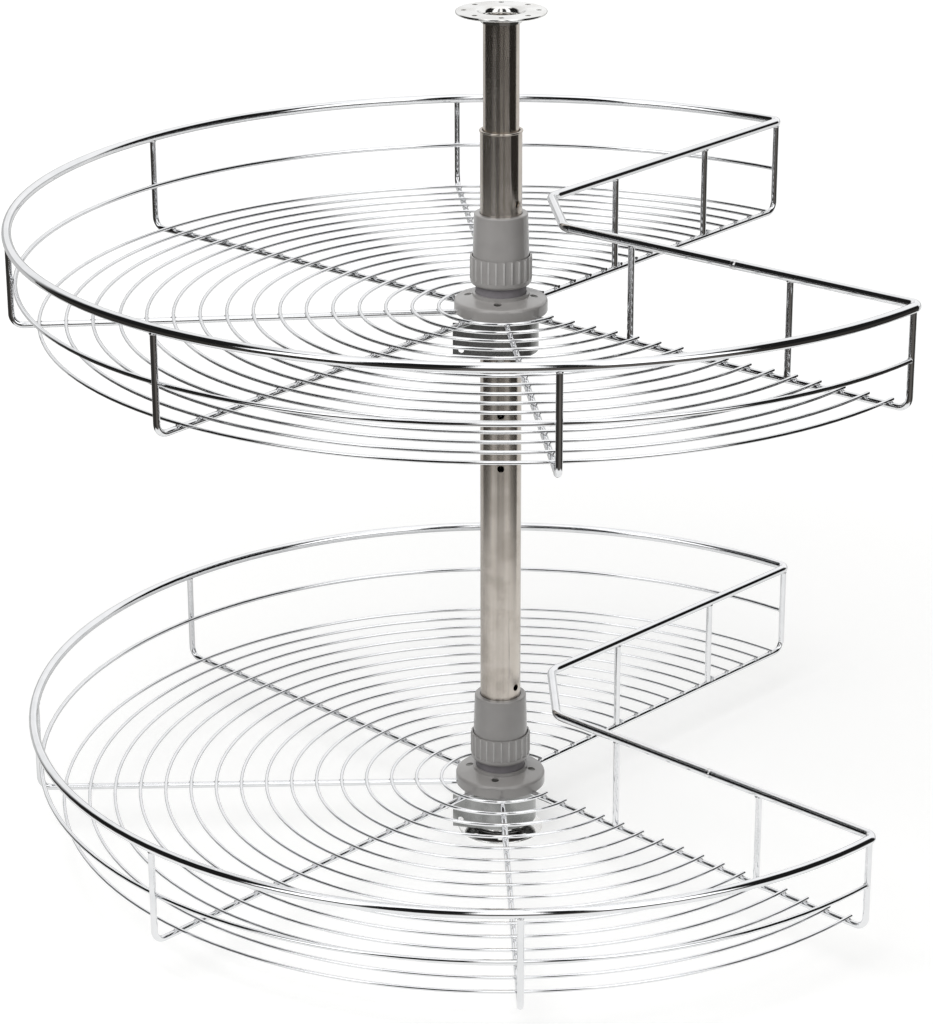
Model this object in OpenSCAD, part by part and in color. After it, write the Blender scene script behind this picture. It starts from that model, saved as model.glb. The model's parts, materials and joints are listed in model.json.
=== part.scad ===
// Revolving corner fitting: two three-quarter round wire baskets turning on a telescopic pole.
// Millimetres, +Z up. The origin is on the floor, at the middle of the base plate's underside.

/* [Pole] */
// Outside diameter of the lower, thicker tube
outer_tube_d = 35; // [33:0.5:37]
// Wall of the lower tube
outer_tube_wall = 1.5; // [1.2:0.1:1.8]
// Height of the lower tube's open end above the floor
outer_tube_top = 635.5; // [600:0.5:660]
// Radius of the bead rolled around the lower tube's open end
bead_r = 1; // [0.8:0.1:1.2]
// Room between the two tubes for their plastic bushes
bush_room = 1; // [0.8:0.05:1.5]
// Wall of the upper tube
inner_tube_wall = 1.5; // [1:0.1:2]
// Length of the upper tube
inner_tube_length = 293; // [240:1:330]
// Height of the whole fitting, floor to underside of the cabinet top
overall_height = 734; // [720:1:780]
// Length of the plastic bush in the mouth of the lower tube
mouth_bush_length = 34; // [20:1:50]
// Length of the plastic bush on the lower end of the upper tube
guide_bush_length = 30; // [20:1:50]

/* [Pole holes] */
// Diameter of the round holes drilled in the lower tube
pole_hole_d = 6; // [4:0.5:8]
// Height of the lowest of the three front holes
front_hole_start = 345; // [320:1:360]
// Spacing of the three front holes
front_hole_pitch = 47.5; // [40:0.5:55]
// Direction of the front holes, in degrees from +X
front_hole_angle = -90; // [-100:1:-80]
// Height of a side hole above the basket floor that it belongs to
side_hole_rise = 95; // [92:0.5:99]
// Direction of the side holes, in degrees from +X
side_hole_angle = -40; // [-60:1:-20]

/* [Mounting plates] */
// How far the plates reach beyond the lower tube
plate_reach = 20; // [19:0.5:28]
// Thickness of the plates
plate_t = 2.5; // [2:0.1:3]
// Height of the drawn neck above its plate
neck_h = 7; // [6.5:0.5:12]
// Wall of the drawn neck
neck_wall = 2; // [1.5:0.1:2.5]
// Radius of the bend between plate and neck, on the neck's outer side
flare_r = 4; // [3:0.25:4.5]
// Screw holes in each plate
plate_holes = 8; // [4:1:8]
// Diameter of a screw hole
plate_hole_d = 4.5; // [3.5:0.1:5]
// Distance from the lower tube out to the middle of the screw holes
plate_hole_reach = 13; // [12:0.25:15]

/* [Tiers] */
// Height of the upper basket's floor wires above the ground
upper_floor_z = 480; // [440:1:520]
// Height of the lower basket's floor wires above the ground
lower_floor_z = 45; // [44:0.5:70]
// Angle that the upper basket has been turned to
upper_turn = 5.9; // [-180:0.1:180]
// Angle that the lower basket has been turned to
lower_turn = 2.2; // [-180:0.1:180]

/* [Basket] */
// Diameter of the basket over its rim wire
basket_d = 820; // [770:5:870]
// Height of the rim wire's centre above the floor wires' centre
rim_rise = 84; // [76:1:100]
// Height of the middle rail above the floor wires
mid_rail_rise = 40; // [34:1:50]
// Angle of the cut-out in the round basket
gate_angle = 90; // [80:1:100]
// Floor wires that run out from the hub
radial_count = 7; // [5:1:8]
// Rings in the floor
ring_count = 16; // [14:1:16]
// Distance from the hub's flange out to the smallest ring
first_ring_gap = 13; // [12:0.1:16]
// Distance from the largest ring out to the rim's arc
ring_margin = 22.5; // [20:0.5:26]
// How far a ring runs on past the middle of the last floor wire
ring_overhang = 3.5; // [3:0.1:8]
// Distance from the hub's flange to the short length that closes the rim
rim_link_gap = 7.8; // [5:0.2:18]
// Radius of the two bends beside that length
rim_link_bend_r = 18; // [12:1:24]
// Radius of the rim's bends at the cut-out's outer corners
rim_bend_r = 8; // [7:0.5:12]
// Distance that the two corner uprights stand inside the rim's arc
corner_inset = 5.5; // [5:0.5:8]
// Radius of the bend from a floor wire to its upright
floor_bend_r = 10; // [8:0.5:14]
// Count of ring spacings from the smallest ring to the inner upright on the right side of the cut-out
right_inner_count = 3.75; // [3.25:0.05:3.75]
// Count of ring spacings to the inner upright on the left side of the cut-out
left_inner_count = 4.75; // [4.25:0.05:4.75]
// Count of ring spacings to the outer upright on both sides
outer_count = 10.7; // [10.25:0.05:10.75]

/* [Wires] */
// Diameter of the rim wire
rim_wire_d = 8; // [6:0.5:9]
// Diameter of the floor wires and uprights
wire_d = 5.5; // [5:0.1:6]
// Diameter of the middle rail
mid_wire_d = 4; // [3:0.5:5]
// Diameter of the floor rings
ring_wire_d = 3; // [2.5:0.1:3.5]
// Depth that crossing wires sink into each other where they are welded
weld_sink = 0.1; // [0.05:0.01:0.12]

/* [Drum] */
// Gap between the race ring and the rolled steel drum around it
drum_gap = 1.45; // [1.2:0.05:2.5]
// Thickness of the drum's strip
drum_wall = 1.5; // [1:0.1:1.6]
// How far the drum reaches below the floor wires' centre
drum_drop = 33; // [32.5:0.25:34]
// Length of the strip's straight end beyond the drum
ear_length = 36; // [25:1:40]
// Direction of the point where the straight end leaves the drum
ear_angle = -104; // [-120:1:-90]
// Diameter of the hole in the straight end
ear_hole_d = 5; // [3:0.5:6]
// Distance of that hole from the end's edges
ear_hole_inset = 7; // [5:0.5:9]
// How much thinner than the drum's wall the straight end is, on each of its faces
ear_sink = 0.2; // [0.15:0.05:0.3]

/* [Hub] */
// How far the hub's flange reaches beyond the drum
hub_overhang = 7.45; // [6.75:0.05:9]
// Height of the flange's edge above the floor wires' centre, before it is rounded
hub_edge_rise = 11; // [10.4:0.2:11.8]
// Radius of the rounding on the flange's upper edge
hub_edge_r = 3; // [2:0.25:4]
// Radius of the rounding on the flange's lower edge
hub_foot_r = 1.5; // [1:0.25:2.5]
// Height of the domed flange where it meets the boss
hub_dome_rise = 14.3; // [13.8:0.1:14.8]
// Wall of the raised boss around the neck
hub_boss_wall = 2.4; // [2:0.1:2.4]
// Height of the boss above the floor wires' centre
hub_boss_rise = 17; // [16:0.1:17.2]
// Screws that hold the hub to its bearing ring
hub_screws = 4; // [3:1:4]
// Distance from the boss out to the middle of these screws
hub_screw_offset = 3.7; // [3.5:0.05:3.9]
// Direction of the first of these screws
hub_screw_angle = -11.5; // [-13:0.5:-11]
// Diameter of a screw's shank
hub_screw_d = 3.5; // [3:0.1:3.8]
// Diameter of a screw's head
hub_screw_head_d = 6.5; // [6:0.1:7]
// Height of a screw's head
hub_screw_head_h = 2; // [1.5:0.1:2.5]
// Height of a screw pocket's floor above the floor wires' centre
hub_screw_seat = 10.9; // [10:0.1:11.2]

/* [Clamp] */
// Wall of the threaded neck and the stem under it
stem_wall = 3.72; // [3.5:0.02:4]
// Height of the neck's top above the floor wires' centre
neck_rise = 36.4; // [35:0.2:38]
// How far the neck's stem reaches below the floor wires' centre
stem_drop = 32.2; // [31.8:0.1:32.3]
// Wall of the conical sleeve at its top
sleeve_top_wall = 1.87; // [1.6:0.01:2.2]
// Wall of the conical sleeve at its foot
sleeve_foot_wall = 4.77; // [4.4:0.01:4.9]
// Height of the sleeve's top above the floor wires' centre
sleeve_rise = 85; // [80:0.5:88]
// Radius of the rounding on the sleeve's top edge
sleeve_round_r = 1.4; // [1:0.1:1.8]
// Thickness of the lip at the sleeve's top
sleeve_lip_t = 3; // [2:0.5:4]
// Wall of the collet's fingers at their root
finger_wall = 1.6; // [1.4:0.1:1.8]
// How much thicker the fingers are at their tips, which makes their cone
finger_cone = 1.4; // [0.8:0.1:1.6]
// Slots between the fingers
finger_slots = 6; // [4:1:8]
// Width of a slot
finger_slot_w = 2.4; // [1.5:0.1:3]
// Wall of the ribbed nut around the sleeve's foot
nut_wall = 1.4; // [1.3:0.05:2]
// Height of the nut
nut_h = 24.8; // [23:0.2:26]
// Height of the nut's threaded part
nut_thread_h = 11; // [10:0.2:11.2]
// Flutes around the nut, with a narrow rib between each two
nut_flutes = 24; // [20:1:26]
// Depth of the flutes
nut_flute_depth = 0.75; // [0.4:0.05:0.8]
// Radius of a flute's hollow
nut_flute_r = 6.6; // [5.5:0.1:8]
// Radius of the rounding under the nut
nut_round_r = 3.8; // [2.5:0.1:4]
// Smooth band under the flutes
nut_band_h = 5.5; // [4.5:0.25:7]
// Thickness of the washer between nut and sleeve
washer_t = 1; // [0.8:0.1:1.2]

/* [Bearing] */
// Bearing balls
ball_count = 16; // [10:1:20]
// Diameter of a ball
ball_d = 5; // [4.6:0.1:5]
// Distance from the stem out to the circle that the balls run on
ball_offset = 4.2; // [4:0.05:4.4]
// Depth that a ball sits in each race
race_depth = 1.2; // [1:0.1:1.4]
// Underside of the bearing ring below the floor wires' centre
bearing_drop = 13; // [12:0.25:13.5]
// Thickness of the cage that keeps the balls apart
cage_t = 1.6; // [1.2:0.1:1.8]
// Thickness of the race ring under the balls
race_t = 6; // [5:0.25:6.5]
// Thickness of the snap ring that holds the race ring
snap_t = 1.2; // [1:0.1:1.4]

/* [Clearances] */
// Gap around a part that is pressed or welded in place
press_gap = 0.05; // [0.03:0.01:0.06]
// Radial gap of a part that turns or slides
running_gap = 0.08; // [0.05:0.01:0.1]
// Gap between faces that pass each other or rest on each other across a joint
seat_gap = 0.3; // [0.2:0.05:0.35]

/* [Hidden] */
$fn = 96;
cut = 0.5;
// A wire's straight lengths run this far on into its bends
lap = 0.1;
// and are drawn thinner than its bends by this much, so that the lengths join cleanly
lap_step = 0.02;

chrome = [0.80, 0.81, 0.82];
steel = [0.62, 0.62, 0.60];
grey_plastic = [0.58, 0.57, 0.56];
dark_plastic = [0.40, 0.39, 0.39];
white_plastic = [0.88, 0.88, 0.86];

// Pole
throat_r = flare_r + neck_wall;
outer_tube_r = outer_tube_d / 2;
outer_bore_r = outer_tube_r - outer_tube_wall;
outer_tube_foot = throat_r;
inner_tube_r = outer_bore_r - bush_room;
inner_tube_top = overall_height - throat_r;
inner_tube_foot = inner_tube_top - inner_tube_length;
bead_centre_r = outer_tube_r + bead_r / 2 - outer_tube_wall / 2;

// Wires
rim_wire_r = rim_wire_d / 2;
wire_r = wire_d / 2;
mid_wire_r = mid_wire_d / 2;
ring_wire_r = ring_wire_d / 2;

// Clamp, from the floor wires' centre
stem_bore_r = outer_tube_r + running_gap;
neck_r = stem_bore_r + stem_wall;
finger_root_r = stem_bore_r + finger_wall;
finger_tip_r = finger_root_r + finger_cone;
sleeve_foot = neck_rise + press_gap;
sleeve_foot_r = finger_root_r + press_gap + sleeve_foot_wall;
sleeve_top_r = finger_tip_r + press_gap + sleeve_top_wall;
sleeve_lip_z = sleeve_rise - sleeve_lip_t;
finger_top = sleeve_lip_z - seat_gap;
nut_z = sleeve_foot - seat_gap - washer_t - press_gap - nut_thread_h;
nut_bore_r = neck_r + running_gap;
nut_counterbore_r = sleeve_foot_r + seat_gap;
nut_r = nut_counterbore_r + nut_wall;

// Bearing, from the floor wires' centre
ball_r = ball_d / 2;
ball_ring_r = neck_r + ball_offset;
ball_z = -bearing_drop + race_depth - ball_r - press_gap;
race_top = ball_z - ball_r + race_depth;
race_r = ball_ring_r + ball_r + 0.8;
cage_half_w = ball_r + 0.3;
snap_seat_z = race_top - race_t;
snap_depth = 1;
snap_reach = 1.5;

// Drum and hub, from the floor wires' centre
drum_bore_r = race_r + drum_gap;
drum_r = drum_bore_r + drum_wall;
drum_top = weld_sink - wire_r;
drum_h = drum_drop + drum_top;
hub_r = drum_r + hub_overhang;
hub_bore_r = neck_r + seat_gap;
hub_boss_r = hub_bore_r + hub_boss_wall;
hub_screw_ring_r = hub_boss_r + hub_screw_offset;
bearing_ring_r = drum_bore_r - press_gap;
bearing_ring_top = -press_gap;
radial_foot_r = hub_bore_r + 2;

// Plates
plate_r = outer_tube_r + plate_reach;
plate_hole_ring_r = outer_tube_r + plate_hole_reach;

// Basket
rim_r = basket_d / 2 - rim_wire_r;
rim_link_x = hub_r + rim_link_gap;
upright_top = rim_rise - rim_wire_r + weld_sink;
mid_rail_r = rim_r - wire_r - mid_wire_r + weld_sink;
corner_upright_r = rim_r - corner_inset;
ring_first_r = hub_r + first_ring_gap;
ring_pitch = (rim_r - ring_margin - ring_first_r) / (ring_count - 1);
ring_rise = wire_r + ring_wire_r - weld_sink;
gate_half = gate_angle / 2;
radial_step = (360 - gate_angle) / (radial_count - 1);

// ---- helpers ----

// A plain ring
module ring(outer_r, bore_r, h) {
    difference() {
        cylinder(r = outer_r, h = h);
        translate([0, 0, -cut]) cylinder(r = bore_r, h = h + 2 * cut);
    }
}

// A round wire bent to an arc around the Z axis, from one direction to another
module wire_arc(bend_r, r, from_angle, to_angle) {
    rotate([0, 0, from_angle])
        rotate_extrude(angle = to_angle - from_angle)
            translate([bend_r, 0])
                circle(r = r);
}

// A straight length of round wire that stands on Z = 0 and runs on a little at both ends
module straight_wire(r, length) {
    translate([0, 0, -lap]) cylinder(r = r - lap_step, h = length + 2 * lap);
}

// A straight length of round wire along X
module wire_x(r, from_x, to_x) {
    translate([from_x, 0, 0]) rotate([0, 90, 0]) straight_wire(r, to_x - from_x);
}

// Copies around the Z axis
module around(count, start = 0) {
    for (i = [0 : count - 1]) rotate([0, 0, start + i * 360 / count]) children();
}

module upper_tier() { translate([0, 0, upper_floor_z]) rotate([0, 0, upper_turn]) children(); }
module lower_tier() { translate([0, 0, lower_floor_z]) rotate([0, 0, lower_turn]) children(); }

// ---- pole ----

// Half section of a stamped plate: neck drawn upwards, sheet rounded at its rim and bent into the neck's throat
module plate_section(bore_r) {
    neck_r_out = bore_r + neck_wall;
    edge_r = plate_t / 2;
    difference() {
        union() {
            translate([bore_r, 0]) square([plate_r - edge_r - bore_r, plate_t]);
            translate([plate_r - edge_r, edge_r]) circle(r = edge_r);
            translate([bore_r, 0]) square([neck_wall, plate_t + neck_h]);
            translate([neck_r_out, plate_t]) square([flare_r, flare_r]);
        }
        translate([neck_r_out + flare_r, plate_t + flare_r]) circle(r = flare_r);
        difference() {
            translate([bore_r - cut, -cut]) square([throat_r + cut, throat_r + cut]);
            translate([bore_r + throat_r, throat_r]) circle(r = throat_r);
        }
    }
}

module mounting_plate(bore_r) {
    difference() {
        rotate_extrude() plate_section(bore_r);
        around(plate_holes)
            translate([plate_hole_ring_r, 0, -cut]) cylinder(d = plate_hole_d, h = plate_t + 2 * cut);
    }
}

module base_plate() { color(chrome) mounting_plate(outer_tube_r + press_gap); }

module top_plate() {
    color(chrome)
        translate([0, 0, overall_height]) mirror([0, 0, 1]) mounting_plate(inner_tube_r + press_gap);
}

module pole_hole(z, angle) {
    translate([0, 0, z]) rotate([0, 0, angle]) rotate([0, 90, 0]) cylinder(d = pole_hole_d, h = outer_tube_d);
}

module outer_tube() {
    color(steel) difference() {
        union() {
            translate([0, 0, outer_tube_foot])
                cylinder(r = outer_tube_r, h = outer_tube_top - bead_r - outer_tube_foot);
            translate([0, 0, outer_tube_top - bead_r]) rotate_extrude() {
                translate([bead_centre_r, 0]) circle(r = bead_r);
                translate([0, -bead_r / 2]) square([bead_centre_r, bead_r]);
            }
        }
        translate([0, 0, -cut]) cylinder(r = outer_bore_r, h = outer_tube_top + 2 * cut);
        for (i = [0 : 2]) pole_hole(front_hole_start + i * front_hole_pitch, front_hole_angle);
        pole_hole(upper_floor_z + side_hole_rise, side_hole_angle);
        pole_hole(lower_floor_z + side_hole_rise, side_hole_angle);
    }
}

module mouth_bush() {
    color(dark_plastic)
        translate([0, 0, outer_tube_top - 2 * bead_r - mouth_bush_length])
            ring(outer_bore_r - press_gap, inner_tube_r + running_gap, mouth_bush_length);
}

module inner_tube() {
    color(steel)
        translate([0, 0, inner_tube_foot])
            ring(inner_tube_r, inner_tube_r - inner_tube_wall, inner_tube_length);
}

module guide_bush() {
    color(white_plastic) translate([0, 0, inner_tube_foot - press_gap]) {
        ring(outer_bore_r - running_gap, inner_tube_r + press_gap, guide_bush_length);
        translate([0, 0, -1]) ring(outer_bore_r - running_gap, inner_tube_r - inner_tube_wall, 1);
    }
}

// ---- clamp that grips the pole ----

// Half section of the collet: stem with the snap ring's groove, neck, and fingers that widen upwards
module collet_section() {
    polygon([
        [stem_bore_r, -stem_drop],
        [neck_r, -stem_drop],
        [neck_r, snap_seat_z - snap_t - press_gap],
        [neck_r - snap_depth, snap_seat_z - snap_t - press_gap],
        [neck_r - snap_depth, snap_seat_z],
        [neck_r, snap_seat_z],
        [neck_r, neck_rise],
        [finger_root_r, neck_rise],
        [finger_tip_r, finger_top],
        [stem_bore_r, finger_top],
    ]);
}

module collet() {
    color(dark_plastic) difference() {
        rotate_extrude() collet_section();
        around(finger_slots)
            translate([0, -finger_slot_w / 2, neck_rise + finger_slot_w / 2])
                cube([finger_tip_r + cut, finger_slot_w, finger_top]);
    }
}

// Smooth conical sleeve around the fingers, with a lip over their tips
module clamp_sleeve() {
    color(grey_plastic) rotate_extrude() difference() {
        union() {
            polygon([
                [finger_root_r + press_gap, sleeve_foot],
                [sleeve_foot_r, sleeve_foot],
                [sleeve_top_r, sleeve_rise - sleeve_round_r],
                [sleeve_top_r - sleeve_round_r, sleeve_rise],
                [stem_bore_r + seat_gap, sleeve_rise],
                [stem_bore_r + seat_gap, sleeve_lip_z],
                [finger_tip_r + press_gap, sleeve_lip_z],
                [finger_tip_r + press_gap, finger_top],
            ]);
            translate([sleeve_top_r - sleeve_round_r, sleeve_rise - sleeve_round_r]) circle(r = sleeve_round_r);
        }
        translate([0, sleeve_foot]) square([stem_bore_r, sleeve_rise]);
    }
}

module race_ring() {
    color(steel) translate([0, 0, snap_seat_z]) difference() {
        ring(race_r, neck_r + press_gap, race_t);
        translate([0, 0, ball_z - snap_seat_z]) race_groove();
    }
}

module race_groove() {
    rotate_extrude() translate([ball_ring_r, 0]) circle(r = ball_r + press_gap);
}

// Open ring sprung into the groove in the stem
module snap_ring() {
    color(steel) translate([0, 0, snap_seat_z - snap_t - press_gap / 2]) difference() {
        ring(neck_r + snap_reach, neck_r - snap_depth + press_gap, snap_t);
        translate([0, -2, -cut]) cube([neck_r + snap_reach + cut, 4, snap_t + 2 * cut]);
    }
}

module ball_cage() {
    color(dark_plastic) translate([0, 0, ball_z - cage_t / 2]) difference() {
        ring(ball_ring_r + cage_half_w, ball_ring_r - cage_half_w, cage_t);
        around(ball_count) translate([ball_ring_r, 0, -cut]) cylinder(r = ball_r + press_gap, h = cage_t + 2 * cut);
    }
}

module balls() {
    color(chrome) around(ball_count) translate([ball_ring_r, 0, ball_z]) sphere(r = ball_r);
}

module thrust_washer() {
    color(white_plastic)
        translate([0, 0, nut_z + nut_thread_h + press_gap]) ring(sleeve_foot_r, neck_r + running_gap, washer_t);
}

// Nut with a thread below, a wide counterbore above that takes the sleeve's foot, and flutes outside
module clamp_nut() {
    color(grey_plastic) translate([0, 0, nut_z]) difference() {
        union() {
            translate([0, 0, nut_round_r]) cylinder(r = nut_r, h = nut_h - nut_round_r);
            rotate_extrude() translate([nut_r - nut_round_r, nut_round_r]) circle(r = nut_round_r);
            cylinder(r = nut_r - nut_round_r, h = nut_round_r);
        }
        translate([0, 0, -cut]) cylinder(r = nut_bore_r, h = nut_h);
        translate([0, 0, nut_thread_h]) cylinder(r = nut_counterbore_r, h = nut_h);
        around(nut_flutes, -90 - 180 / nut_flutes)
            translate([nut_r + nut_flute_r - nut_flute_depth, 0, nut_band_h]) cylinder(r = nut_flute_r, h = nut_h);
    }
}

// ---- basket ----

// Closed rim: a long arc, two straight lengths along the cut-out and a short link by the hub
module rim() {
    corner_angle = asin(rim_bend_r / (rim_r - rim_bend_r));
    straight_end = (rim_r - rim_bend_r) * cos(corner_angle);
    arc_start = gate_half + corner_angle - lap * 180 / (PI * rim_r);
    link_turn = 90 - gate_half;
    link_back = rim_link_bend_r * tan(link_turn / 2);
    link_half = rim_link_x * tan(gate_half) - link_back;
    color(chrome) translate([0, 0, rim_rise]) {
        wire_arc(rim_r, rim_wire_r - lap_step, arc_start, 360 - arc_start);
        translate([rim_link_x, link_half, 0]) rotate([90, 0, 0]) straight_wire(rim_wire_r, 2 * link_half);
        for (side = [0, 1]) mirror([0, side, 0]) {
            rotate([0, 0, gate_half]) {
                wire_x(rim_wire_r, rim_link_x / cos(gate_half) + link_back, straight_end);
                translate([straight_end, rim_bend_r, 0]) wire_arc(rim_bend_r, rim_wire_r, -90, corner_angle);
            }
            translate([rim_link_x + rim_link_bend_r, link_half, 0])
                wire_arc(rim_link_bend_r, rim_wire_r, 180 - link_turn, 180);
        }
    }
}

// Thinner rail inside the uprights, its ends butted against the two corner uprights
module mid_rail() {
    end_angle = gate_half + asin((wire_r - weld_sink) / mid_rail_r);
    color(chrome)
        translate([0, 0, mid_rail_rise]) wire_arc(mid_rail_r, mid_wire_r, end_angle, 360 - end_angle);
}

// One floor wire that runs out from the hub, bends up and ends under the rim
module radial_wire(upright_r) {
    wire_x(wire_r, radial_foot_r, upright_r - floor_bend_r);
    translate([upright_r - floor_bend_r, 0, floor_bend_r])
        rotate([90, 0, 0]) wire_arc(floor_bend_r, wire_r, -90, 0);
    translate([upright_r, 0, floor_bend_r]) straight_wire(wire_r, upright_top - lap - floor_bend_r);
}

module radial_wires() {
    color(chrome) for (i = [0 : radial_count - 1]) {
        at_cut = i == 0 || i == radial_count - 1;
        rotate([0, 0, gate_half + i * radial_step]) radial_wire(at_cut ? corner_upright_r : rim_r);
    }
}

module floor_rings() {
    color(chrome) translate([0, 0, ring_rise]) for (i = [0 : ring_count - 1]) {
        r = ring_first_r + i * ring_pitch;
        end_angle = gate_half - asin(ring_overhang / r);
        wire_arc(r, ring_wire_r, end_angle, 360 - end_angle);
    }
}

// Uprights along both sides of the cut-out, between the floor wire and the rim
module gate_uprights() {
    foot = wire_r - weld_sink;
    uprights = [
        [gate_half, left_inner_count],
        [gate_half, outer_count],
        [-gate_half, right_inner_count],
        [-gate_half, outer_count],
    ];
    color(chrome) for (u = uprights)
        rotate([0, 0, u[0]])
            translate([ring_first_r + u[1] * ring_pitch, 0, foot])
                cylinder(r = wire_r, h = upright_top - foot);
}

// Strip rolled to a drum, its outer end left straight as an ear with a hole
module drum() {
    ear_x = drum_bore_r + ear_sink;
    ear_t = drum_wall - 2 * ear_sink;
    color(steel) translate([0, 0, -drum_drop]) difference() {
        union() {
            cylinder(r = drum_r, h = drum_h);
            rotate([0, 0, ear_angle]) translate([ear_x, -ear_length, 0]) cube([ear_t, ear_length, drum_h]);
        }
        translate([0, 0, -cut]) cylinder(r = drum_bore_r, h = drum_h + 2 * cut);
        rotate([0, 0, ear_angle]) translate([ear_x - cut, ear_hole_inset - ear_length, ear_hole_inset])
            rotate([0, 90, 0]) cylinder(d = ear_hole_d, h = ear_t + 2 * cut);
    }
}

// Room for the floor wires where they lie between the hub flange and the bearing ring
module wire_channels() {
    for (i = [0 : radial_count - 1]) rotate([0, 0, gate_half + i * radial_step])
        wire_x(wire_r + press_gap, radial_foot_r - press_gap, hub_r + cut);
}

// Half section of the flange: shallow domed top with its edge rounded, and a low boss around the neck
module hub_section() {
    rise = hub_dome_rise - hub_edge_rise;
    run = pow(hub_r, 2) - pow(hub_boss_r, 2);
    dome_drop = (run - pow(rise, 2)) / (2 * rise);
    dome_z = hub_edge_rise - dome_drop;
    dome_r = sqrt(pow(hub_r, 2) + pow(dome_drop, 2));
    // The rounding touches the dome from inside and the flange's side
    round_x = hub_r - hub_edge_r;
    round_z = dome_z + sqrt(pow(dome_r - hub_edge_r, 2) - pow(round_x, 2));
    touch = dome_r / (dome_r - hub_edge_r);
    intersection() {
        translate([0, dome_z]) circle(r = dome_r);
        square([round_x * touch, hub_dome_rise]);
    }
    translate([round_x, round_z]) circle(r = hub_edge_r);
    translate([0, hub_foot_r]) square([hub_r, round_z - hub_foot_r]);
    translate([hub_r - hub_foot_r, hub_foot_r]) circle(r = hub_foot_r);
    square([hub_r - hub_foot_r, hub_foot_r]);
    square([hub_boss_r, hub_boss_rise]);
}

// Round flange over the floor wires
module hub_flange() {
    color(grey_plastic) difference() {
        rotate_extrude() hub_section();
        translate([0, 0, -cut]) cylinder(r = hub_bore_r, h = hub_boss_rise + 2 * cut);
        wire_channels();
        around(hub_screws, hub_screw_angle) translate([hub_screw_ring_r, 0, -cut]) {
            cylinder(r = hub_screw_d / 2 + press_gap, h = hub_boss_rise);
            translate([0, 0, hub_screw_seat + cut]) cylinder(r = hub_screw_head_d / 2 + press_gap, h = hub_boss_rise);
        }
    }
}

module hub_screws() {
    head_z = hub_screw_seat + press_gap;
    foot_z = race_depth + ball_r - bearing_drop;
    color(steel) around(hub_screws, hub_screw_angle) translate([hub_screw_ring_r, 0, 0]) {
        translate([0, 0, foot_z]) cylinder(d = hub_screw_d, h = head_z - foot_z + hub_screw_head_h / 2);
        translate([0, 0, head_z]) cylinder(d = hub_screw_head_d, h = hub_screw_head_h);
    }
}

// Ring inside the drum that the hub is screwed to; its underside is the upper ball race
module bearing_ring() {
    screw_foot = race_depth + ball_r - bearing_drop - press_gap;
    color(dark_plastic) difference() {
        translate([0, 0, -bearing_drop]) ring(bearing_ring_r, hub_bore_r, bearing_drop + bearing_ring_top);
        wire_channels();
        translate([0, 0, ball_z + press_gap]) race_groove();
        around(hub_screws, hub_screw_angle) translate([hub_screw_ring_r, 0, screw_foot])
            cylinder(r = hub_screw_d / 2 + press_gap, h = bearing_drop);
    }
}

// ---- assembly ----

base_plate();
outer_tube();
mouth_bush();
inner_tube();
top_plate();
guide_bush();

upper_tier() collet();  // upper_collet
upper_tier() clamp_sleeve();  // upper_clamp_sleeve
upper_tier() race_ring();  // upper_race_ring
upper_tier() snap_ring();  // upper_snap_ring
upper_tier() ball_cage();  // upper_ball_cage
upper_tier() balls();  // upper_balls
upper_tier() thrust_washer();  // upper_thrust_washer
upper_tier() clamp_nut();  // upper_clamp_nut
upper_tier() rim();  // upper_rim
upper_tier() mid_rail();  // upper_mid_rail
upper_tier() radial_wires();  // upper_radial_wires
upper_tier() floor_rings();  // upper_floor_rings
upper_tier() gate_uprights();  // upper_gate_uprights
upper_tier() drum();  // upper_drum
upper_tier() hub_flange();  // upper_hub_flange
upper_tier() hub_screws();  // upper_hub_screws
upper_tier() bearing_ring();  // upper_bearing_ring

lower_tier() collet();  // lower_collet
lower_tier() clamp_sleeve();  // lower_clamp_sleeve
lower_tier() race_ring();  // lower_race_ring
lower_tier() snap_ring();  // lower_snap_ring
lower_tier() ball_cage();  // lower_ball_cage
lower_tier() balls();  // lower_balls
lower_tier() thrust_washer();  // lower_thrust_washer
lower_tier() clamp_nut();  // lower_clamp_nut
lower_tier() rim();  // lower_rim
lower_tier() mid_rail();  // lower_mid_rail
lower_tier() radial_wires();  // lower_radial_wires
lower_tier() floor_rings();  // lower_floor_rings
lower_tier() gate_uprights();  // lower_gate_uprights
lower_tier() drum();  // lower_drum
lower_tier() hub_flange();  // lower_hub_flange
lower_tier() hub_screws();  // lower_hub_screws
lower_tier() bearing_ring();  // lower_bearing_ring
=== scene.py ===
"""Looks of a revolving corner fitting: two chromed wire baskets on a telescopic pole, on a pale floor."""
import bmesh
import bpy
import json
import math
import random
from mathutils import Matrix, Vector


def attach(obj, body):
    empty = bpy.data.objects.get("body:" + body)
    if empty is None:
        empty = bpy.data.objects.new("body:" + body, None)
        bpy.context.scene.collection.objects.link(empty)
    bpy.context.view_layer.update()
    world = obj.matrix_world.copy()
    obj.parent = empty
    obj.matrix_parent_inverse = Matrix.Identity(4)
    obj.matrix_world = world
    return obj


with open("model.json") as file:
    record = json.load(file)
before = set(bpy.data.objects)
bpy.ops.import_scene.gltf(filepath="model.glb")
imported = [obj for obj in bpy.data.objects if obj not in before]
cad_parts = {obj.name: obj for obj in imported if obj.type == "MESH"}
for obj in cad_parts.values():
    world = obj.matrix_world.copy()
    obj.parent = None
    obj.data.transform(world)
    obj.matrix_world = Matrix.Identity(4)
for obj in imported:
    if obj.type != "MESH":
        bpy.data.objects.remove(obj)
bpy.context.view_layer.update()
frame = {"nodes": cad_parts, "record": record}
scene = bpy.context.scene
MM = 0.001

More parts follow.
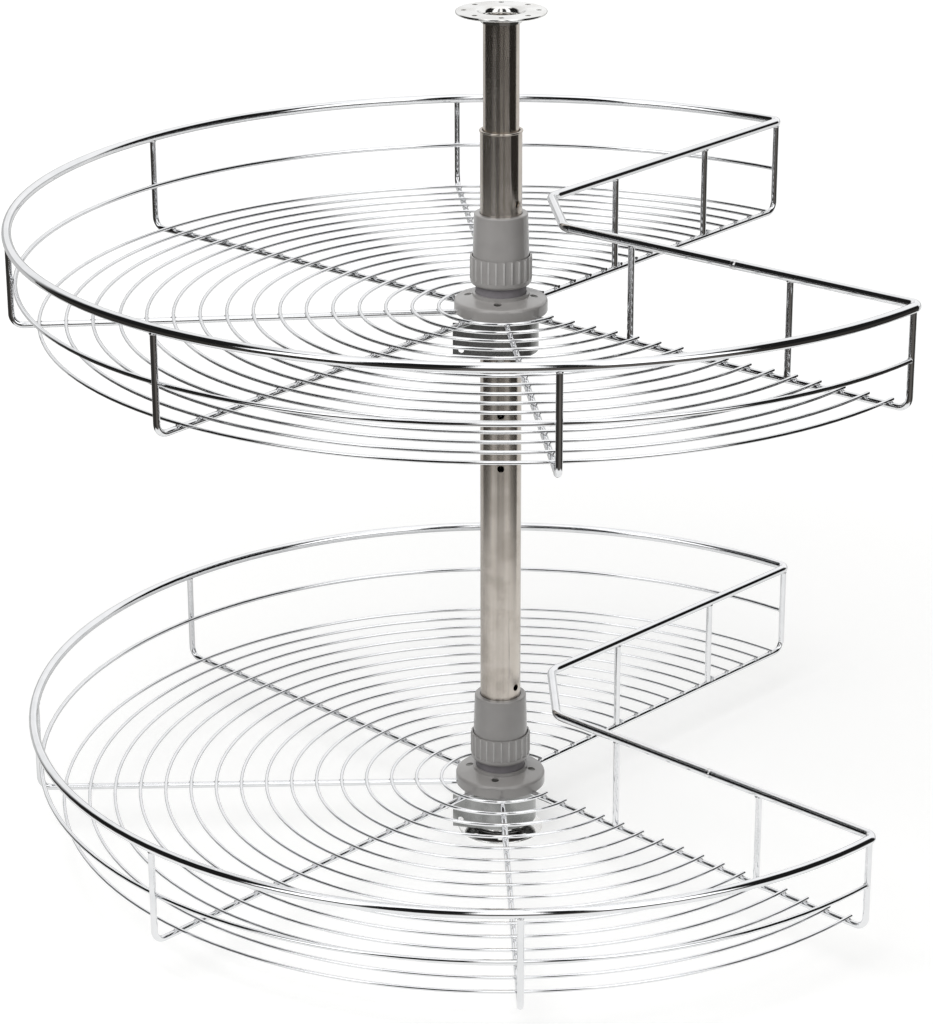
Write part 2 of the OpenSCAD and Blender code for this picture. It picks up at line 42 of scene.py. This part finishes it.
# ---- places taken from the CAD source, in millimetres ----
TIERS = {"upper": (480.0, 5.9), "lower": (45.0, 2.2)}
RIM_R = 406.0
RIM_RISE = 84.0
RIM_WIRE_R = 4.0
WIRE_R = 2.75
MID_RISE = 40.0
RING_COUNT = 16
RING_FIRST = 52.2
RING_MARGIN = 22.5
RING_PITCH = (RIM_R - RING_MARGIN - RING_FIRST) / (RING_COUNT - 1)
RADIALS = [45.0 + 45.0 * i for i in range(7)]
CORNER_R = RIM_R - 5.5
GATE_PLACES = [(45.0, 4.75), (45.0, 10.7), (-45.0, 3.75), (-45.0, 10.7)]
DRUM_R = 31.75
NUT_R = 25.7
NUT_FOOT = 24.1
RIB_COUNT = 24
RIB_RISE = 0.5
RIB_HALF = 0.65
RIB_ROUND = 0.42
RIB_LOW, RIB_HIGH = NUT_FOOT + 5.0, NUT_FOOT + 24.2


# ---- node helpers ----
class Net:
    """Short calls for building one node tree."""

    def __init__(self, tree):
        self.tree = tree
        tree.nodes.clear()

    def add(self, kind, **settings):
        node = self.tree.nodes.new(kind)
        for key, value in settings.items():
            setattr(node, key, value)
        return node

    def wire(self, source, target):
        self.tree.links.new(source, target)

    def put(self, value, target):
        if isinstance(value, bpy.types.NodeSocket):
            self.wire(value, target)
        else:
            target.default_value = value

    def math(self, operation, a, b=0.0, c=0.0, clamp=False):
        node = self.add("ShaderNodeMath", operation=operation, use_clamp=clamp)
        for value, target in zip((a, b, c), node.inputs):
            self.put(value, target)
        return node.outputs[0]

    def ramp(self, value, low, high, to_low=0.0, to_high=1.0):
        node = self.add("ShaderNodeMapRange", interpolation_type="SMOOTHSTEP")
        for value, target in zip((value, low, high, to_low, to_high), node.inputs):
            self.put(value, target)
        return node.outputs[0]

    def mix(self, factor, a, b):
        node = self.add("ShaderNodeMix", data_type="RGBA")
        self.put(factor, node.inputs[0])
        self.put(a, node.inputs[6])
        self.put(b, node.inputs[7])
        return node.outputs[2]

    def noise(self, vector, scale, detail=2.0, roughness=0.5):
        node = self.add("ShaderNodeTexNoise")
        self.put(vector, node.inputs["Vector"])
        self.put(scale, node.inputs["Scale"])
        node.inputs["Detail"].default_value = detail
        node.inputs["Roughness"].default_value = roughness
        return node.outputs[0]


def group(name, inputs, outputs):
    tree = bpy.data.node_groups.new(name, "ShaderNodeTree")
    net = Net(tree)
    for label, value in inputs:
        tree.interface.new_socket(label, in_out="INPUT", socket_type="NodeSocketFloat").default_value = value
    for label in outputs:
        tree.interface.new_socket(label, in_out="OUTPUT", socket_type="NodeSocketFloat")
    return tree, net, net.add("NodeGroupInput"), net.add("NodeGroupOutput")


def wear_group():
    """Fine streaks, clouded patches and specks, by object coordinates."""
    tree, net, given, made = group(
        "fine_wear", [("Scale", 1.0), ("Along", 0.1)], ["Streaks", "Cloud", "Specks"])
    at = net.add("ShaderNodeTexCoord").outputs["Object"]
    size = net.add("ShaderNodeVectorMath", operation="SCALE")
    net.wire(at, size.inputs[0])
    net.wire(given.outputs["Scale"], size.inputs["Scale"])
    parts = net.add("ShaderNodeSeparateXYZ")
    net.wire(size.outputs[0], parts.inputs[0])
    joined = net.add("ShaderNodeCombineXYZ")
    net.wire(parts.outputs[0], joined.inputs[0])
    net.wire(parts.outputs[1], joined.inputs[1])
    net.wire(net.math("MULTIPLY", parts.outputs[2], given.outputs["Along"]), joined.inputs[2])
    net.wire(net.noise(joined.outputs[0], 900.0, 3.0, 0.6), made.inputs["Streaks"])
    net.wire(net.noise(size.outputs[0], 45.0, 3.0, 0.5), made.inputs["Cloud"])
    net.wire(net.noise(size.outputs[0], 1600.0, 1.0, 0.5), made.inputs["Specks"])
    return tree


WEAR = wear_group()


def material(
        name, color, tint, metallic, rough, rough_swing, bump,
        scale=1.0, along=0.1, grain=0.0, coat=0.0, brushed=0.0):
    """A finish that clouds from color to tint, with uneven gloss and faint relief; brushed blurs it along Z."""
    mat = bpy.data.materials.new(name)
    mat.use_nodes = True
    net = Net(mat.node_tree)
    shader = net.add("ShaderNodeBsdfPrincipled")
    wear = net.add("ShaderNodeGroup", node_tree=WEAR)
    wear.inputs["Scale"].default_value = scale
    wear.inputs["Along"].default_value = along
    streaks, cloud, specks = (wear.outputs[n] for n in ("Streaks", "Cloud", "Specks"))
    patch = net.ramp(cloud, 0.38, 0.66)
    net.wire(net.mix(patch, (*color, 1.0), (*tint, 1.0)), shader.inputs["Base Color"])
    shader.inputs["Metallic"].default_value = metallic
    uneven = net.math("MULTIPLY_ADD", streaks, rough_swing, rough - rough_swing / 2)
    uneven = net.math("MULTIPLY_ADD", patch, rough_swing / 2, uneven, clamp=True)
    net.wire(uneven, shader.inputs["Roughness"])
    relief = net.add("ShaderNodeBump")
    relief.inputs["Strength"].default_value = bump
    relief.inputs["Distance"].default_value = 0.0002
    net.wire(net.math("MULTIPLY_ADD", specks, grain, streaks), relief.inputs["Height"])
    net.wire(relief.outputs[0], shader.inputs["Normal"])
    if brushed:
        shader.inputs["Anisotropic"].default_value = brushed
        shader.inputs["Anisotropic Rotation"].default_value = 0.25
    if coat:
        shader.inputs["Coat Weight"].default_value = coat
        shader.inputs["Coat Roughness"].default_value = 0.12
    net.wire(shader.outputs[0], net.add("ShaderNodeOutputMaterial").inputs["Surface"])
    return mat


FINISH = {
    "chrome_wire": material("chrome_wire", (0.88, 0.885, 0.90), (0.83, 0.84, 0.855), 1.0, 0.045, 0.05, 0.04),
    "chrome_plate": material("chrome_plate", (0.90, 0.90, 0.89), (0.80, 0.79, 0.77), 1.0, 0.10, 0.08, 0.08),
    "polished_tube": material(
        "polished_tube", (0.645, 0.595, 0.54), (0.565, 0.515, 0.46),
        1.0, 0.15, 0.07, 0.05, 1.0, 0.02, brushed=1.0),
    "warm_grey_plastic": material(
        "warm_grey_plastic", (0.315, 0.303, 0.294), (0.292, 0.281, 0.272),
        0.0, 0.30, 0.10, 0.10, 1.0, 1.0, 1.2, 0.8),
    "dark_plastic": material(
        "dark_plastic", (0.22, 0.205, 0.22), (0.18, 0.17, 0.18), 0.0, 0.5, 0.14, 0.16, 1.0, 1.0, 1.5),
    "white_plastic": material(
        "white_plastic", (0.78, 0.78, 0.76), (0.72, 0.72, 0.70), 0.0, 0.4, 0.1, 0.1, 1.0, 1.0, 1.0),
    "bearing_steel": material("bearing_steel", (0.62, 0.62, 0.62), (0.55, 0.55, 0.54), 1.0, 0.16, 0.1, 0.08),
    "satin_steel": material(
        "satin_steel", (0.38, 0.385, 0.38), (0.22, 0.225, 0.22), 0.8, 0.22, 0.12, 0.05, 1.0, 0.10),
    # zinc_steel: dark zinc, made darker still as painted shade of the deep pockets that the screw heads sit in
    "zinc_steel": material(
        "zinc_steel", (0.20, 0.20, 0.19), (0.14, 0.14, 0.13), 1.0, 0.4, 0.16, 0.15, 1.0, 1.0, 0.6),
}
WELD = material("weld_chrome", (0.92, 0.92, 0.93), (0.70, 0.70, 0.70), 1.0, 0.14, 0.12, 0.22, 1.0, 1.0, 1.0)
# Painted highlight: the nut's plastic made lighter, so that the ribs' ridges show as bright lines
RIB = material(
    "rib_painted_highlight", (0.50, 0.49, 0.48), (0.42, 0.41, 0.40), 0.0, 0.26, 0.12, 0.10, 1.0, 1.0, 1.2, 0.8)


def dress_frame():
    """Gives each CAD node the finish of its own material slot."""
    slot_of = {row["node"]: row["material_slot"] for row in frame["record"]["subparts"]}
    for name, piece in frame["nodes"].items():
        finish = FINISH[slot_of[name]]
        for held in piece.material_slots:
            held.material = finish


dress_frame()


# ---- pieces ----
def finish_piece(name, mesh, mat, body, smooth=True):
    data = bpy.data.meshes.new(name)
    mesh.to_mesh(data)
    mesh.free()
    data.materials.append(mat)
    if smooth:
        data.shade_smooth()
    piece = bpy.data.objects.new(name, data)
    scene.collection.objects.link(piece)
    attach(piece, body)
    return piece


def place(turn, r, z, side=0.0):
    """The place at radius r and height z on a line turned by so many degrees, side millimetres off it."""
    return Matrix.Rotation(math.radians(turn), 4, "Z") @ Matrix.Translation((r * MM, side * MM, z * MM))


def blob(mesh, where, sizes, rng, level=2, rough=0.10):
    """A slightly uneven bead of metal with the given half sizes in millimetres."""
    made = bmesh.ops.create_icosphere(mesh, subdivisions=level, radius=1.0)["verts"]
    phase = [rng.uniform(0, 6.28) for _ in range(3)]
    for v in made:
        wave = math.sin(4 * v.co.y + phase[1]) * math.cos(3 * v.co.z + phase[2])
        swell = 1 + rough * (math.sin(3 * v.co.x + phase[0]) + wave)
        v.co = where @ Vector([c * s * swell * MM for c, s in zip(v.co, sizes)])


def floor_welds(tier):
    """The flattened beads where each floor ring is welded across each floor wire."""
    floor, turn = TIERS[tier]
    rng = random.Random(tier)
    mesh = bmesh.new()
    for radial in RADIALS:
        for i in range(RING_COUNT):
            r = RING_FIRST + i * RING_PITCH
            where = place(radial + turn, r, floor + WIRE_R + 0.1)
            blob(mesh, where, (rng.uniform(1.9, 2.5), rng.uniform(1.7, 2.2), rng.uniform(0.7, 1.0)), rng)
    return finish_piece(f"{tier}_floor_welds", mesh, WELD, f"{tier}_basket")


def upright_welds(tier):
    """Beads under the rim, at the feet of the uprights in the cut-out, and where the middle rail touches."""
    floor, turn = TIERS[tier]
    rng = random.Random(tier + "up")
    mesh = bmesh.new()
    under_rim = floor + RIM_RISE - RIM_WIRE_R + 0.3
    for i, radial in enumerate(RADIALS):
        at_cut = i in (0, 6)
        r = CORNER_R if at_cut else RIM_R
        blob(mesh, place(radial + turn, r, under_rim), (3.3, 3.4, 1.1), rng)
        if at_cut:
            along = 1 if i == 0 else -1
            where = place(radial + turn, RIM_R - WIRE_R - 2.0, floor + MID_RISE, along * 2.9)
            blob(mesh, where, (2.5, 1.2, 2.6), rng)
        else:
            blob(mesh, place(radial + turn, RIM_R - WIRE_R, floor + MID_RISE), (0.9, 1.8, 2.2), rng)
    for angle, index in GATE_PLACES:
        r = RING_FIRST + index * RING_PITCH
        blob(mesh, place(angle + turn, r, under_rim), (3.4, 3.3, 1.0), rng)
        blob(mesh, place(angle + turn, r, floor + WIRE_R + 0.2), (3.5, 2.5, 1.0), rng)
    return finish_piece(f"{tier}_upright_welds", mesh, WELD, f"{tier}_basket")


def collar(mesh, where, r, swell, width, turns=32, rows=8):
    """A low swelling around a wire of radius r that lies along the local X axis, in millimetres."""
    line = []
    for k in range(rows + 1):
        u = k / rows
        radius = r - 0.05 + swell * math.sin(math.pi * u) ** 1.5
        line.append(mesh.verts.new(((u - 0.5) * width * MM, radius * MM, 0.0)))
    edges = [mesh.edges.new(pair) for pair in zip(line, line[1:])]
    bmesh.ops.spin(
        mesh, geom=line + edges, cent=(0, 0, 0), axis=(1, 0, 0),
        angle=2 * math.pi, steps=turns, use_merge=True)
    bmesh.ops.holes_fill(mesh, edges=[e for e in mesh.edges if e.is_boundary], sides=0)
    bmesh.ops.recalc_face_normals(mesh, faces=mesh.faces)
    bmesh.ops.transform(mesh, matrix=where, verts=mesh.verts)


def rim_seams(tier):
    """The butt weld where the rim's wire was closed."""
    floor, turn = TIERS[tier]
    mesh = bmesh.new()
    collar(mesh, place(turn - 45, 236.0, floor + RIM_RISE), RIM_WIRE_R, 0.35, 5.0)
    return finish_piece(f"{tier}_rim_seam", mesh, WELD, f"{tier}_basket")


def nut_ribs(tier):
    """The narrow raised ribs between the flutes of the clamp nut, lighter than the nut as a painted highlight
    on their ridges.
    """
    floor, turn = TIERS[tier]
    mesh = bmesh.new()
    low, high = floor + RIB_LOW, floor + RIB_HIGH
    for k in range(RIB_COUNT):
        where = place(turn - 90 + 360 / RIB_COUNT * k, NUT_R - 0.1, (low + high) / 2)
        size = Matrix.Diagonal((2 * RIB_RISE * MM, 2 * RIB_HALF * MM, (high - low) * MM, 1.0))
        bmesh.ops.create_cube(mesh, size=1.0, matrix=where @ size)
    bmesh.ops.bevel(
        mesh, geom=mesh.edges[:], offset=RIB_ROUND * MM, segments=3, profile=0.5, affect="EDGES", material=-1)
    bmesh.ops.recalc_face_normals(mesh, faces=mesh.faces)
    return finish_piece(f"{tier}_nut_ribs", mesh, RIB, f"{tier}_nut")


def drum_welds(tier):
    """Beads that hold the drum under the floor wires."""
    floor, turn = TIERS[tier]
    rng = random.Random(tier + "drum")
    mesh = bmesh.new()
    for radial in RADIALS:
        blob(mesh, place(radial + turn, DRUM_R - 0.7, floor - WIRE_R + 0.1), (2.4, 3.0, 0.9), rng)
    return finish_piece(f"{tier}_drum_welds", mesh, WELD, f"{tier}_basket")


for tier_name in TIERS:
    floor_welds(tier_name)
    upright_welds(tier_name)
    rim_seams(tier_name)
    nut_ribs(tier_name)
    drum_welds(tier_name)


# ---- studio ----
WHITE = (1.0, 1.0, 1.0, 1.0)
FLOOR_PALE = (0.62, 0.62, 0.615, 1.0)
# The next three colours are painted reflection: the dim room that the floor glows with for glossy rays
PAINTED_REFLECTION_DIM = (0.034, 0.032, 0.029, 1.0)
PAINTED_REFLECTION_SPILL = (0.112, 0.104, 0.096, 1.0)
PAINTED_REFLECTION_BEHIND = (0.55, 0.55, 0.55, 1.0)
SKY_LEVEL = 0.36
MIRROR_LEAST = 0.012
SUN_LEVEL = 0.95
SUN_SPREAD = 50
NEAR_WATTS = 7.5
PITCH, YAW, ROLL = 20.92, -0.66, -0.16
LENS = 111.69
CAMERA_AT = (0.0, -2.544, 1.272)


def make_floor():
    mesh = bmesh.new()
    bmesh.ops.create_grid(mesh, x_segments=1, y_segments=1, size=9.0)
    data = bpy.data.meshes.new("studio_floor")
    mesh.to_mesh(data)
    mesh.free()
    floor = bpy.data.objects.new("studio_floor", data)
    scene.collection.objects.link(floor)
    mat = bpy.data.materials.new("pale_floor")
    mat.use_nodes = True
    net = Net(mat.node_tree)
    path = net.add("ShaderNodeLightPath")
    parts = net.add("ShaderNodeSeparateXYZ")
    net.wire(net.add("ShaderNodeNewGeometry").outputs["Position"], parts.inputs[0])
    x, y = parts.outputs[0], parts.outputs[1]
    lit = net.add("ShaderNodeBsdfDiffuse")
    lit.inputs["Color"].default_value = FLOOR_PALE
    glow = net.add("ShaderNodeEmission")
    glow.inputs["Color"].default_value = (1.0, 1.0, 0.995, 1.0)
    far = net.add("ShaderNodeVectorMath", operation="LENGTH")
    net.wire(net.add("ShaderNodeNewGeometry").outputs["Position"], far.inputs[0])
    lift = net.ramp(far.outputs["Value"], 0.3, 2.0, 0.53, 0.70)
    net.wire(net.math("MULTIPLY", path.outputs["Is Camera Ray"], lift), glow.inputs["Strength"])
    seen = net.add("ShaderNodeAddShader")
    net.wire(lit.outputs[0], seen.inputs[0])
    net.wire(glow.outputs[0], seen.inputs[1])
    # Painted reflection: for glossy rays the floor glows in place of its lit surface, with a painted white
    # sheet that the fitting stands on, dimmer towards the back and left, and a painted dim room past the
    # sheet's edges
    around = net.math("ARCTAN2", x, net.math("MULTIPLY", y, -1.0))
    front = net.ramp(y, -0.84, -0.72)
    back_left = net.math("MULTIPLY", net.math("MAXIMUM", net.math("SUBTRACT", y, 0.3), 0.0), 1.5)
    back_right = net.math("MULTIPLY", net.math("MAXIMUM", net.math("SUBTRACT", y, 0.1), 0.0), 2.5)
    left = net.ramp(net.math("ADD", x, back_left), -0.78, -0.68)
    right = net.ramp(net.math("SUBTRACT", x, back_right), 0.70, 0.62)
    sheet = net.math("MULTIPLY", net.math("MULTIPLY", front, left), right)
    spill = net.math("MULTIPLY", net.ramp(around, -0.25, -0.10), net.ramp(around, 0.95, 0.75))
    dim = net.mix(spill, PAINTED_REFLECTION_DIM, PAINTED_REFLECTION_SPILL)
    dim = net.mix(net.ramp(net.math("ABSOLUTE", around), 2.1, 2.5), dim, PAINTED_REFLECTION_BEHIND)
    # Painted reflection: the glow that glossy rays see on the floor
    painted_room_glow = net.add("ShaderNodeEmission")
    painted_sheet_falloff = net.math("MULTIPLY", net.ramp(y, 0.0, 0.5, 0.93, 0.78), net.ramp(around, -2.3, -0.8, 0.72, 1.0))
    net.wire(net.mix(sheet, dim, (1.0, 1.0, 0.99, 1.0)), painted_room_glow.inputs["Color"])
    net.wire(net.math("MULTIPLY_ADD", sheet, net.math("SUBTRACT", painted_sheet_falloff, 1.0), 1.0), painted_room_glow.inputs["Strength"])
    choose = net.add("ShaderNodeMixShader")
    net.wire(path.outputs["Is Glossy Ray"], choose.inputs[0])
    net.wire(seen.outputs[0], choose.inputs[1])
    net.wire(painted_room_glow.outputs[0], choose.inputs[2])
    net.wire(choose.outputs[0], net.add("ShaderNodeOutputMaterial").inputs["Surface"])
    data.materials.append(mat)


# The room's bright parts as mirrors see them: where each starts and ends, as a turn from the camera's side
# in radians and positive to the right, how softly it ends, how bright it is and how bright its foot is
MIRROR_WINDOWS = (
    (-4.0, -2.2, 0.2, 0.93, 0.5), (-1.02, -0.56, 0.05, 1.5, 0.0), (-0.11, 0.18, 0.04, 1.3, 0.0),
    (0.38, 0.97, 0.05, 1.5, 0.0), (2.0, 4.0, 0.1, 1.0, 0.5))


def make_world():
    world = bpy.data.worlds.new("studio")
    scene.world = world
    world.use_nodes = True
    net = Net(world.node_tree)
    path = net.add("ShaderNodeLightPath")
    parts = net.add("ShaderNodeSeparateXYZ")
    net.wire(net.add("ShaderNodeTexCoord").outputs["Generated"], parts.inputs[0])
    x, y, z = parts.outputs
    # Turn around the fitting, 0 towards the camera and positive to the right
    around = net.math("ARCTAN2", x, net.math("MULTIPLY", y, -1.0))
    light = net.ramp(z, 0.84, 0.91, 0.0, 1.15)
    above = net.ramp(z, 0.11, 0.17)
    for low, high, soft, level, foot in MIRROR_WINDOWS:
        start = net.ramp(around, low - soft, low + soft)
        box = net.math("MULTIPLY", start, net.ramp(around, high + soft, high - soft))
        box = net.math("MULTIPLY", box, net.math("MULTIPLY_ADD", above, level - foot, foot))
        light = net.math("MAXIMUM", light, box)
    mirror = net.add("ShaderNodeBackground")
    mirror.inputs["Color"].default_value = WHITE
    net.wire(net.math("ADD", light, MIRROR_LEAST), mirror.inputs["Strength"])
    plain = net.add("ShaderNodeBackground")
    plain.inputs["Color"].default_value = WHITE
    plain.inputs["Strength"].default_value = SKY_LEVEL
    white = net.add("ShaderNodeBackground")
    white.inputs["Color"].default_value = WHITE
    first = net.add("ShaderNodeMixShader")
    net.wire(path.outputs["Is Glossy Ray"], first.inputs[0])
    net.wire(plain.outputs[0], first.inputs[1])
    net.wire(mirror.outputs[0], first.inputs[2])
    second = net.add("ShaderNodeMixShader")
    net.wire(path.outputs["Is Camera Ray"], second.inputs[0])
    net.wire(first.outputs[0], second.inputs[1])
    net.wire(white.outputs[0], second.inputs[2])
    net.wire(second.outputs[0], net.add("ShaderNodeOutputWorld").inputs["Surface"])


def aim(thing, at):
    direction = Vector(at) - thing.location
    thing.rotation_euler = direction.to_track_quat("-Z", "Y").to_euler()


def make_lamps():
    sun = bpy.data.lights.new("soft_top", "SUN")
    sun.energy = SUN_LEVEL
    sun.angle = math.radians(SUN_SPREAD)
    top = bpy.data.objects.new("soft_top", sun)
    top.location = (-0.9, -1.1, 3.0)
    scene.collection.objects.link(top)
    aim(top, (0, 0, 0.3))
    top.visible_glossy = False
    area = bpy.data.lights.new("soft_near", "AREA")
    area.size = 0.9
    area.energy = NEAR_WATTS
    near = bpy.data.objects.new("soft_near", area)
    near.location = (-0.35, -0.80, 1.30)
    scene.collection.objects.link(near)
    aim(near, (0, 0, 0.45))
    near.visible_glossy = False
    near.visible_camera = False


def make_camera():
    pitch, yaw, roll = (math.radians(a) for a in (PITCH, YAW, ROLL))
    ahead = Vector((math.sin(yaw) * math.cos(pitch), math.cos(yaw) * math.cos(pitch), -math.sin(pitch)))
    level = Vector((math.cos(yaw), -math.sin(yaw), 0.0))
    rise = level.cross(ahead)
    right = level * math.cos(roll) + rise * math.sin(roll)
    up = rise * math.cos(roll) - level * math.sin(roll)
    lens = bpy.data.cameras.new("photo_camera")
    lens.sensor_width = 36.0
    lens.lens = LENS
    lens.clip_start = 0.05
    camera = bpy.data.objects.new("photo_camera", lens)
    turned = Matrix((right, up, -ahead)).transposed().to_4x4()
    camera.matrix_world = Matrix.Translation(CAMERA_AT) @ turned
    scene.collection.objects.link(camera)
    scene.camera = camera


make_floor()
make_world()
make_lamps()
make_camera()
scene.view_settings.view_transform = "Standard"
